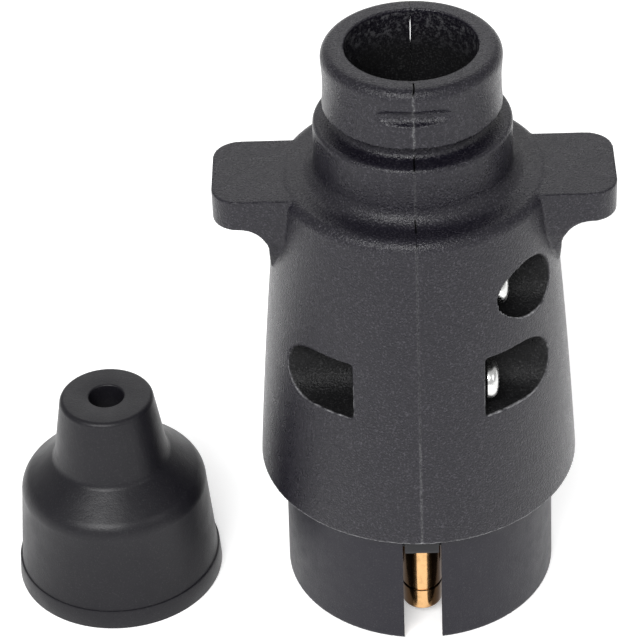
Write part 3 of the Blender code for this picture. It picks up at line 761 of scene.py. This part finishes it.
def cable_boot():
    """Rubber boot, which stands beside the plug on its mouth."""
    shoulder = (BOOT_SHOULDER_R - BOOT_ROUND, BOOT_SHOULDER_Z)
    lean = math.radians(BOOT_TIP_LEAN)
    foot = (BOOT_TIP_R + BOOT_TIP_FILLET * math.cos(lean), BOOT_TIP_Z + BOOT_TIP_FILLET * math.sin(lean))
    edge = (BOOT_TIP_TOP_R - BOOT_TIP_ROUND, BOOT_TOP_Z - BOOT_TIP_ROUND)
    points = [(BOOT_MOUTH_R + BOOT_MOUTH_EDGE, 0), (BOOT_LIP_R - 0.25, 0)]
    points += [(BOOT_LIP_R - 0.05, 0.1), (BOOT_LIP_R, 0.3)]
    points += [(BOOT_LIP_TOP_R, BOOT_LIP_H - 0.35), (BOOT_LIP_TOP_R - 0.1, BOOT_LIP_H - 0.12)]
    points += [(BOOT_BODY_R + 0.06, BOOT_LIP_H - 0.06), (BOOT_BODY_R, BOOT_LIP_H + 0.06)]
    points += arc(shoulder, BOOT_ROUND, 0, BOOT_LEDGE_TURN, 18)
    points += arc(foot, BOOT_TIP_FILLET, 180 + BOOT_LEDGE_TURN, 180 + BOOT_TIP_LEAN, 18)
    points += arc(edge, BOOT_TIP_ROUND, BOOT_TIP_LEAN, 90, 8)
    hole_edge = (BOOT_HOLE_R + BOOT_HOLE_EDGE, BOOT_TOP_Z - BOOT_HOLE_EDGE)
    ceiling = (BOOT_BORE_R - BOOT_CEILING_ROUND, BOOT_CEILING_Z - BOOT_CEILING_ROUND)
    bead_low, bead_high = BOOT_BEAD_Z
    bead_edge = BOOT_BEAD_R + BOOT_BEAD_EDGE
    points += arc(hole_edge, BOOT_HOLE_EDGE, 90, 180, 4)
    points += [(BOOT_HOLE_R, BOOT_HOLE_Z), (BOOT_CONE_R, BOOT_CEILING_Z)]
    points += arc(ceiling, BOOT_CEILING_ROUND, 90, 0, 6)
    points += [(BOOT_BORE_R, bead_high + 0.5), (bead_edge, bead_high + BOOT_BEAD_EDGE)]
    points += [(BOOT_BEAD_R, bead_high), (BOOT_BEAD_R, bead_low), (bead_edge, bead_low - BOOT_BEAD_EDGE)]
    points += [(BOOT_MOUTH_R, bead_low - 0.5), (BOOT_MOUTH_R, BOOT_MOUTH_EDGE)]
    boot = turned("boot", points, 192)
    dress(placed(boot, Matrix.Translation(BOOT), 40), "boot", "cable_boot", "boot_rubber")


# ---- Materials ----

class Tree:
    """Short way to lay out a material's nodes."""

    def __init__(self, name):
        self.material = bpy.data.materials.new(name)
        self.material.use_nodes = True
        self.nodes = self.material.node_tree.nodes
        self.links = self.material.node_tree.links
        self.shader = self.nodes["Principled BSDF"]
        coordinates = self.nodes.new("ShaderNodeTexCoord")
        self.position = coordinates.outputs["Object"]

    def link(self, source, target):
        """Join an output to an input."""
        self.links.new(source, target)

    def noise(self, scale, detail=2.0, roughness=0.5, position=None):
        """Noise with that many features to the metre."""
        node = self.nodes.new("ShaderNodeTexNoise")
        node.inputs["Scale"].default_value = scale
        node.inputs["Detail"].default_value = detail
        node.inputs["Roughness"].default_value = roughness
        self.link(position or self.position, node.inputs["Vector"])
        return node.outputs["Fac"]

    def stretched(self, factors):
        """Position scaled by a factor along each axis."""
        node = self.nodes.new("ShaderNodeMapping")
        node.inputs["Scale"].default_value = factors
        self.link(self.position, node.inputs["Vector"])
        return node.outputs["Vector"]

    def range(self, value, low, high, to_low, to_high):
        """Clamped map of a value from one range to another."""
        node = self.nodes.new("ShaderNodeMapRange")
        node.inputs["From Min"].default_value = low
        node.inputs["From Max"].default_value = high
        node.inputs["To Min"].default_value = to_low
        node.inputs["To Max"].default_value = to_high
        self.link(value, node.inputs["Value"])
        return node.outputs["Result"]

    def mix(self, amount, first, second):
        """Blend of two colours by an amount."""
        node = self.nodes.new("ShaderNodeMix")
        node.data_type = "RGBA"
        self.link(amount, node.inputs["Factor"])
        for socket, colour in ((node.inputs["A"], first), (node.inputs["B"], second)):
            if isinstance(colour, tuple):
                socket.default_value = (*colour, 1.0)
            else:
                self.link(colour, socket)
        return node.outputs["Result"]

    def math(self, operation, first, second):
        """Maths on two values."""
        node = self.nodes.new("ShaderNodeMath")
        node.operation = operation
        for socket, value in zip(node.inputs, (first, second)):
            if isinstance(value, (int, float)):
                socket.default_value = value
            else:
                self.link(value, socket)
        return node.outputs["Value"]

    def attribute(self, name):
        """A number stored on the mesh."""
        node = self.nodes.new("ShaderNodeAttribute")
        node.attribute_name = name
        return node.outputs["Fac"]

    def bump(self, height, distance, before=None):
        """Bump from a height, on top of an earlier bump."""
        node = self.nodes.new("ShaderNodeBump")
        node.inputs["Strength"].default_value = 1.0
        node.inputs["Distance"].default_value = distance
        self.link(height, node.inputs["Height"])
        if before:
            self.link(before, node.inputs["Normal"])
        return node.outputs["Normal"]

    def finish(self, colour, roughness, normal=None):
        """Give the shader its colour, roughness and bump."""
        self.link(colour, self.shader.inputs["Base Color"])
        self.link(roughness, self.shader.inputs["Roughness"])
        if normal:
            self.link(normal, self.shader.inputs["Normal"])
        return self.material


def housing_plastic(tree):
    """Dark grey spark-textured plastic with a light parting line and light burrs."""
    grain = tree.noise(3400, 2, 0.6)
    mottle = tree.noise(90, 4, 0.6)
    base = tree.mix(mottle, (0.0038, 0.0032, 0.0070), (0.0068, 0.0060, 0.0104))
    specks = tree.range(tree.noise(3600, 2, 0.6), 0.53, 0.70, 0.0, 0.8)
    base = tree.mix(specks, base, (0.048, 0.045, 0.055))
    inside = tree.attribute("inside")
    dim = tree.mix(specks, (0.008, 0.008, 0.0085), (0.035, 0.035, 0.036))
    near_rim = tree.attribute("near_rim")
    shade = tree.math("MULTIPLY", inside, tree.range(near_rim, 0, 1, 1.0, 0.35))
    base = tree.mix(shade, base, dim)
    scuffs = tree.range(tree.noise(1100, 4, 0.75), 0.50, 0.62, 0.0, 0.9)
    scuffs = tree.math("MULTIPLY", scuffs, tree.math("MULTIPLY", inside, near_rim))
    base = tree.mix(scuffs, base, (0.075, 0.075, 0.08))
    dots = tree.range(tree.noise(2600, 2, 0.7), 0.40, 0.56, 0.15, 1.0)
    flash = tree.math("MULTIPLY", tree.math("POWER", tree.attribute("flash"), 1.3), dots)
    base = tree.mix(flash, base, (0.17, 0.17, 0.175))
    base = tree.mix(tree.attribute("crack"), base, (0.002, 0.002, 0.002))
    burr = tree.range(tree.attribute("burr"), 0.35, 0.9, 0.0, 1.0)
    burr = tree.math("MULTIPLY", burr, tree.range(tree.noise(700, 3, 0.7), 0.38, 0.58, 0.1, 1.0))
    base = tree.mix(burr, base, (0.26, 0.26, 0.27))
    tree.link(tree.range(inside, 0, 1, 0.36, 0.10), tree.shader.inputs["Specular IOR Level"])
    roughness = tree.range(tree.noise(500, 3, 0.6), 0.3, 0.7, 0.25, 0.33)
    tree.finish(base, roughness, tree.bump(grain, 0.00014))


def sleeve_plastic(tree):
    """Dark grey plastic, smoother than the housing, with faint drawn marks."""
    grain = tree.noise(4500, 3, 0.6)
    mottle = tree.noise(140, 4, 0.6)
    base = tree.mix(mottle, (0.0046, 0.0039, 0.0092), (0.0080, 0.0071, 0.0132))
    specks = tree.range(tree.noise(4100, 2, 0.6), 0.56, 0.72, 0.0, 0.45)
    base = tree.mix(specks, base, (0.050, 0.049, 0.052))
    tree.shader.inputs["Specular IOR Level"].default_value = 0.34
    roughness = tree.range(tree.noise(420, 3, 0.6), 0.3, 0.7, 0.40, 0.50)
    tree.finish(base, roughness, tree.bump(grain, 0.00004))


def carrier_plastic(tree):
    """Grey glass-filled plastic."""
    mottle = tree.noise(600, 5, 0.65)
    base = tree.mix(mottle, (0.008, 0.008, 0.010), (0.017, 0.017, 0.019))
    tree.shader.inputs["Specular IOR Level"].default_value = 0.3
    roughness = tree.range(mottle, 0.3, 0.7, 0.42, 0.55)
    tree.finish(base, roughness, tree.bump(tree.noise(5000, 3, 0.6), 0.00003))


def pin_brass(tree):
    """Turned brass with tarnish patches, and painted light: a painted reflection makes the side that
    faces outwards bright, and painted shade keeps the rest dark brown.
    """
    tarnish = tree.range(tree.noise(500, 4, 0.7), 0.50, 0.75, 0.0, 0.6)
    bright = tree.mix(tarnish, (0.80, 0.48, 0.22), (0.42, 0.22, 0.09))
    # Painted light: bright brass as a painted reflection along the outward side, dark brown painted
    # shade elsewhere.
    base = tree.mix(tree.attribute("painted_reflection"), (0.13, 0.070, 0.030), bright)
    tree.shader.inputs["Metallic"].default_value = 1.0
    lines = tree.noise(1.0, 2, 0.5, tree.stretched((300, 300, 9000)))
    roughness = tree.range(tree.noise(800, 3, 0.6), 0.3, 0.7, 0.10, 0.20)
    tree.finish(base, roughness, tree.bump(lines, 0.000006))


def screw_steel(tree):
    """Bright zinc plating with small dull patches."""
    patches = tree.noise(700, 4, 0.65)
    base = tree.mix(tree.range(patches, 0.35, 0.7, 0.0, 1.0), (0.80, 0.80, 0.79), (0.62, 0.62, 0.61))
    tree.shader.inputs["Metallic"].default_value = 1.0
    roughness = tree.range(patches, 0.3, 0.7, 0.18, 0.34)
    tree.finish(base, roughness, tree.bump(tree.noise(2600, 3, 0.6), 0.00002))


def boot_rubber(tree):
    """Soft black rubber, matte, with a faint bloom."""
    bloom = tree.noise(75, 5, 0.6)
    base = tree.mix(tree.range(bloom, 0.3, 0.7, 0.0, 1.0), (0.0055, 0.0050, 0.0075),
                    (0.0090, 0.0085, 0.0112))
    specks = tree.range(tree.noise(4100, 2, 0.6), 0.56, 0.72, 0.0, 0.3)
    base = tree.mix(specks, base, (0.045, 0.045, 0.047))
    tree.shader.inputs["Specular IOR Level"].default_value = 0.28
    roughness = tree.range(tree.noise(260, 4, 0.6), 0.3, 0.7, 0.34, 0.44)
    fine = tree.bump(tree.noise(4200, 3, 0.6), 0.00003)
    tree.finish(base, roughness, tree.bump(tree.noise(350, 3, 0.5), 0.00006, fine))


LOOKS = {"housing_plastic": housing_plastic, "sleeve_plastic": sleeve_plastic,
         "carrier_plastic": carrier_plastic, "pin_brass": pin_brass,
         "screw_steel": screw_steel, "boot_rubber": boot_rubber}
MADE = {}


def surface(slot):
    """The material of a slot, made on first use."""
    if slot not in MADE:
        tree = Tree(slot)
        LOOKS[slot](tree)
        MADE[slot] = tree.material
    return MADE[slot]


# ---- Stage ----

CAMERA_OFFSET = Vector((-4.28, -368.7, 320.2))
CAMERA_PITCH = 36.674
CAMERA_TURN = 1.56
CAMERA_ROLL = -2.4
CAMERA_LENS = 174.74
CAMERA_SENSOR = 36


def camera():
    """Camera at the photograph's angle: pitched down, turned and rolled a little."""
    lens = bpy.data.cameras.new("camera")
    lens.lens = CAMERA_LENS
    lens.sensor_width = CAMERA_SENSOR
    lens.clip_start = 0.01
    eye = bpy.data.objects.new("camera", lens)
    turn = Matrix.Rotation(math.radians(CAMERA_TURN), 4, "Z")
    pitch = Matrix.Rotation(math.radians(90 - CAMERA_PITCH), 4, "X")
    roll = Matrix.Rotation(math.radians(CAMERA_ROLL), 4, "Z")
    eye.matrix_world = Matrix.Translation((PLUG + CAMERA_OFFSET) * MM) @ turn @ pitch @ roll
    bpy.context.scene.collection.objects.link(eye)
    bpy.context.scene.camera = eye


def softbox(name, place_at, aim, size, power):
    """Area light aimed at a point."""
    light = bpy.data.lights.new(name, "AREA")
    light.shape = "RECTANGLE"
    light.size, light.size_y = size
    light.energy = power
    lamp = bpy.data.objects.new(name, light)
    lamp.location = place_at
    lamp.rotation_euler = (Vector(aim) - Vector(place_at)).to_track_quat("-Z", "Y").to_euler()
    bpy.context.scene.collection.objects.link(lamp)


def studio():
    """White floor lit a little from below, pale surroundings and soft lights."""
    bm = bmesh.new()
    bmesh.ops.create_grid(bm, x_segments=1, y_segments=1, size=3)
    floor = new_object("floor", bm)
    tree = Tree("floor_paper")
    paper = tree.noise(40, 4, 0.6)
    colour = tree.mix(paper, (0.93, 0.93, 0.93), (0.95, 0.95, 0.95))
    tree.finish(colour, tree.range(paper, 0.3, 0.7, 0.75, 0.85))
    tree.shader.inputs["Emission Color"].default_value = (1.0, 1.0, 1.0, 1.0)
    tree.shader.inputs["Emission Strength"].default_value = 0.38
    floor.data.materials.append(tree.material)
    world = bpy.context.scene.world or bpy.data.worlds.new("world")
    bpy.context.scene.world = world
    world.use_nodes = True
    background = world.node_tree.nodes["Background"]
    background.inputs["Color"].default_value = (1.0, 1.0, 1.0, 1.0)
    background.inputs["Strength"].default_value = 0.52
    softbox("front", (-0.22, -0.70, 0.70), (0, 0, 0.06), (0.60, 0.26), 8.5)
    softbox("right", (0.70, -0.50, 0.55), (0, 0, 0.06), (0.35, 0.35), 1.0)
    softbox("back", (0.0, 0.95, 0.70), (0, 0, 0.06), (1.0, 0.5), 2.3)
    bpy.context.scene.view_settings.view_transform = "Standard"


camera()
studio()
housings()
plug_sleeve()
contact_carrier()
contacts()
housing_screws()
cable_boot()
